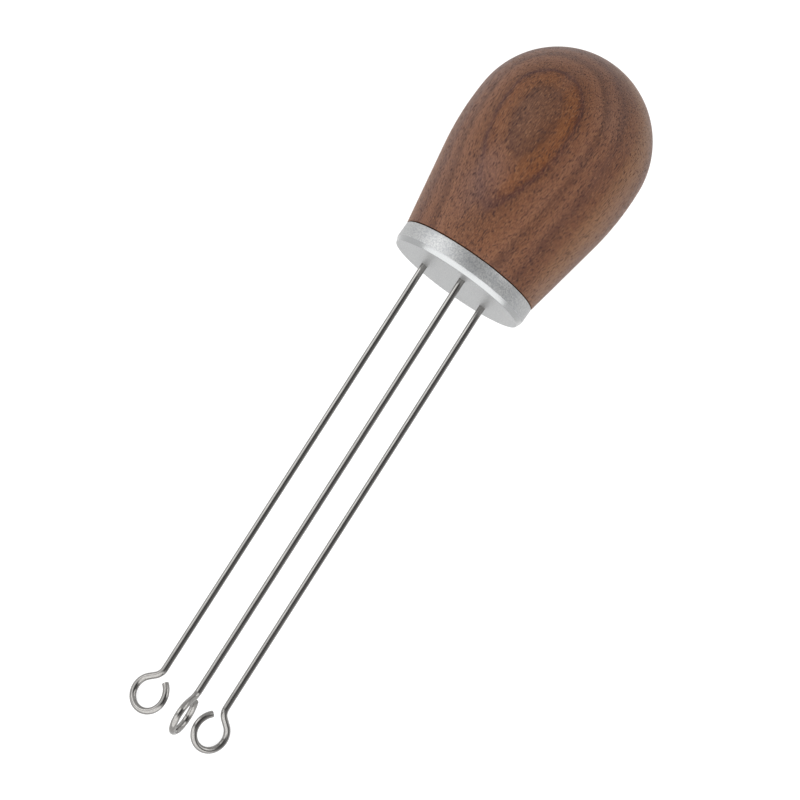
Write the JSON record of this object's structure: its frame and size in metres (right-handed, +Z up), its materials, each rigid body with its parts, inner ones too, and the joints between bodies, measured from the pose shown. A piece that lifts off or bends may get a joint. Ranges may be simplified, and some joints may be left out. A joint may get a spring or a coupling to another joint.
{
  "type": "coffee stirring tool",
  "caption": "Hand tool with a turned walnut knob, an aluminium disc and spring-steel wires ending in open loops, for stirring ground coffee level.",
  "frame": {"origin": "middle of the underside: the table under the tool's bounding box as it lies at rest", "axes": "+X from the wire loops towards the top of the knob, +Z up, tool lying on its knob and two lower loops"},
  "size_m": [0.1507, 0.0364, 0.0367],
  "materials": {
    "walnut": "satin",
    "satin_aluminium": "satin",
    "stainless_wire": "polished",
    "zinc_plated_steel": "satin",
    "brass": "machined"
  },
  "bodies": {
    "head": {"disc": "satin_aluminium", "top_wire": "stainless_wire", "left_wire": "stainless_wire", "right_wire": "stainless_wire"},
    "screw": {"stud": "zinc_plated_steel"},
    "handle": {"knob": "walnut", "threaded_insert": "brass"}
  },
  "joints": [
    {"name": "knob_turn", "type": "hinge", "parent": "head", "child": "screw", "pos_m": [0.02391, 0, 0.01541], "axis": [0.9954, 0, 0.0959], "range_deg": [0, 3600]},
    {"name": "knob_travel", "type": "slide", "parent": "screw", "child": "handle", "axis": [0.9954, 0, 0.0959], "range_m": [0, 0.01]}
  ],
  "couplings": [
    {"joint": "knob_travel", "follows": "knob_turn", "m_per_rad": 0.00015915}
  ]
}
